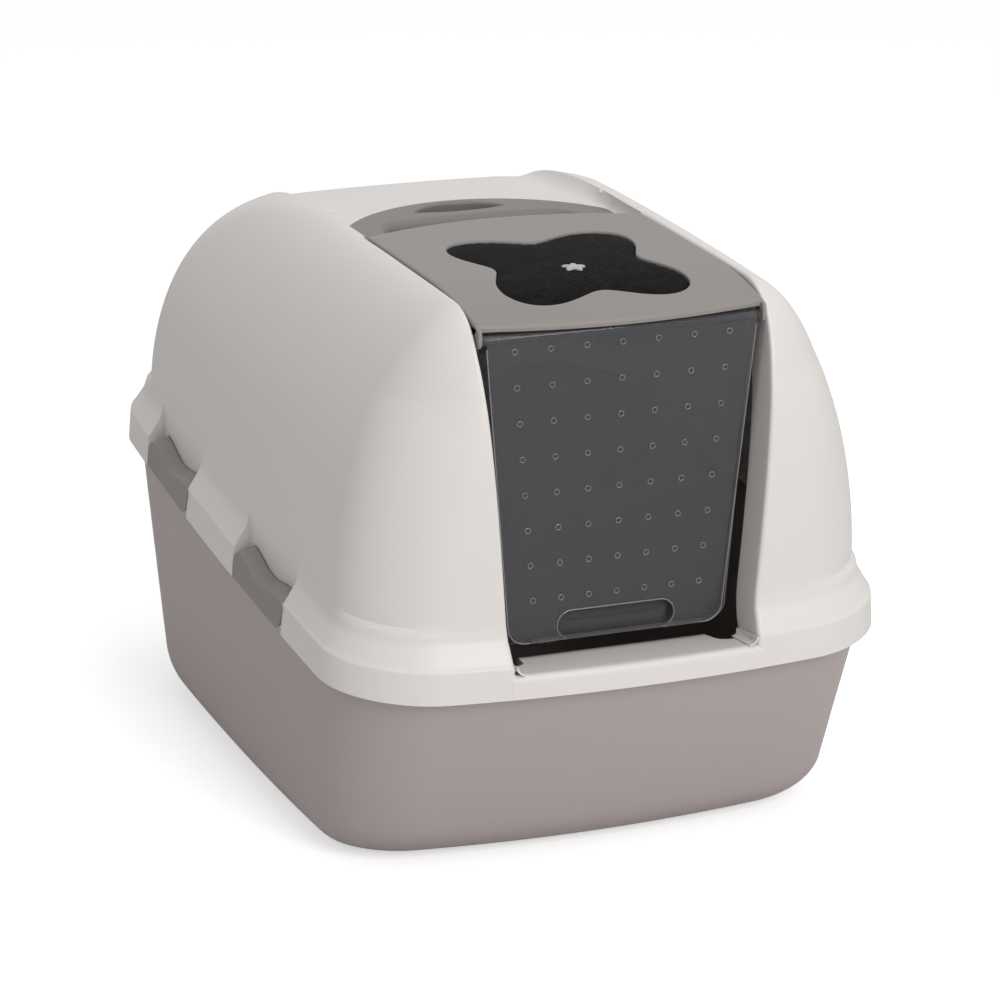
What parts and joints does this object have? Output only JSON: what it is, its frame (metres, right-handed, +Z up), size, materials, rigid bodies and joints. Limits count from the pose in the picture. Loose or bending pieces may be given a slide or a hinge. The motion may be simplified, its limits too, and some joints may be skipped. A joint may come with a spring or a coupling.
{
  "type": "hooded litter box",
  "caption": "Hooded cat litter box: tapered pan, domed hood with carry handle, hinged top lid with filter pad, smoked swing door and side clips.",
  "frame": {"origin": "on the floor below the middle of the box's outer extents", "axes": "+X to the right seen from the front, +Y to the back (the door faces -Y), +Z up"},
  "size_m": [0.3902, 0.4996, 0.3721],
  "materials": {
    "pan_taupe": "fine satin texture",
    "hood_white": "fine satin texture",
    "handle_taupe": "fine satin texture",
    "lid_taupe": "fine satin texture",
    "smoked_clear": "smooth smoked translucent plastic",
    "filter_felt": "needled black felt",
    "stud_grey": "satin",
    "clip_taupe": "fine satin texture"
  },
  "bodies": {
    "base": {"pan": "pan_taupe", "hood": "hood_white", "handle": "handle_taupe"},
    "lid": {"lid": "lid_taupe", "filter_pad": "filter_felt", "filter_stud": "stud_grey"},
    "door": {"door": "smoked_clear"},
    "clip_left_front": {"clip_left_front": "clip_taupe"},
    "clip_left_back": {"clip_left_back": "clip_taupe"},
    "clip_right_front": {"clip_right_front": "clip_taupe"},
    "clip_right_back": {"clip_right_back": "clip_taupe"}
  },
  "joints": [
    {"name": "lid_hinge", "type": "hinge", "parent": "base", "child": "lid", "pos_m": [0, -0.021, 0.367], "axis": [-1, 0, 0], "range_deg": [0, 95]},
    {"name": "door_hinge", "type": "hinge", "parent": "lid", "child": "door", "pos_m": [0, -0.206, 0.3515], "axis": [1, 0, 0], "range_deg": [-80, 80]},
    {"name": "clip_left_front_hinge", "type": "hinge", "parent": "base", "child": "clip_left_front", "pos_m": [-0.18866, -0.07488, 0.15175], "axis": [0.0144, -0.9944, -0.1045], "range_deg": [0, 80]},
    {"name": "clip_left_back_hinge", "type": "hinge", "parent": "base", "child": "clip_left_back", "pos_m": [-0.188, 0.11089, 0.17127], "axis": [-0.0215, -0.9943, -0.1045], "range_deg": [0, 80]},
    {"name": "clip_right_front_hinge", "type": "hinge", "parent": "base", "child": "clip_right_front", "pos_m": [0.18866, -0.07488, 0.15175], "axis": [0.0144, 0.9944, 0.1045], "range_deg": [0, 80]},
    {"name": "clip_right_back_hinge", "type": "hinge", "parent": "base", "child": "clip_right_back", "pos_m": [0.188, 0.11089, 0.17127], "axis": [-0.0215, 0.9943, 0.1045], "range_deg": [0, 80]}
  ]
}
